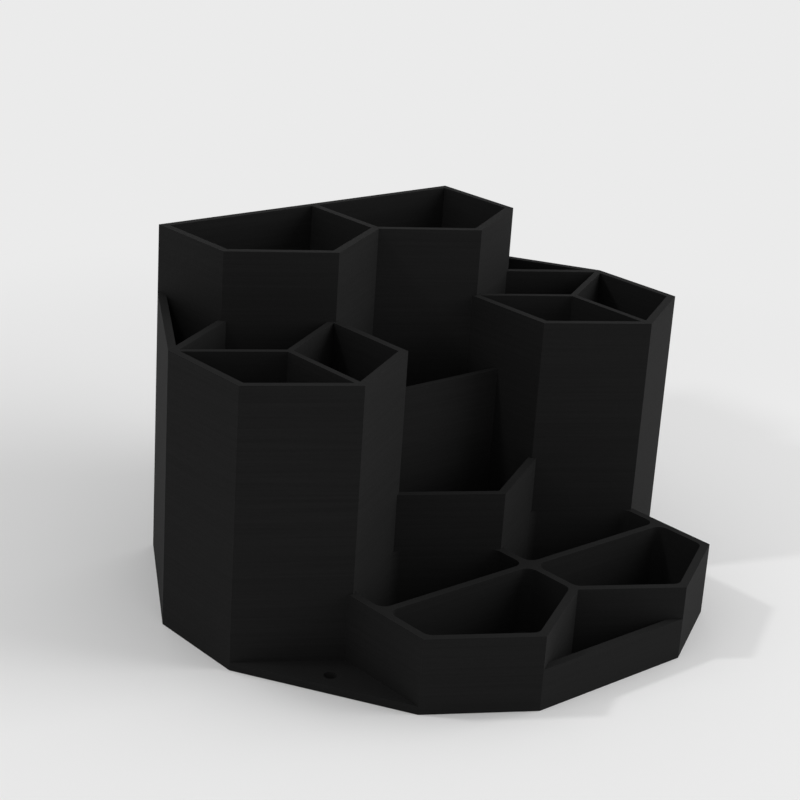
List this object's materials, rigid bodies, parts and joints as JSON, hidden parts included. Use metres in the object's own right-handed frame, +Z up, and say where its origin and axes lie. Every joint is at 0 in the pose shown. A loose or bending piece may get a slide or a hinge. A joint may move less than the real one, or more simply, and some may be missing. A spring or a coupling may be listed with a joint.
{
  "type": "desk organizer",
  "caption": "Desk organizer of joined hexagonal cells on one flat base, stepping down from tall rear cups and divided side towers to shallow front trays, with small pockets between.",
  "frame": {"origin": "middle of the footprint, on the surface that the base rests on", "axes": "+Z up, +X to the right as seen from the front, -Y towards the user: the shallow trays are at -Y and the flat back wall is at +Y"},
  "size_m": [0.2108, 0.1826, 0.13],
  "materials": {
    "printed_plastic": "satin black, printed in fine horizontal layers"
  },
  "bodies": {
    "root": {"base_plate": "printed_plastic", "rear_left_cup": "printed_plastic", "rear_right_cup": "printed_plastic", "left_tower": "printed_plastic", "right_tower": "printed_plastic", "left_tower_divider": "printed_plastic", "right_tower_divider": "printed_plastic", "left_pocket_wall": "printed_plastic", "right_pocket_wall": "printed_plastic", "centre_front_wall": "printed_plastic", "centre_divider": "printed_plastic", "front_left_tray": "printed_plastic", "front_right_tray": "printed_plastic", "front_lip": "printed_plastic"}
  },
  "joints": []
}
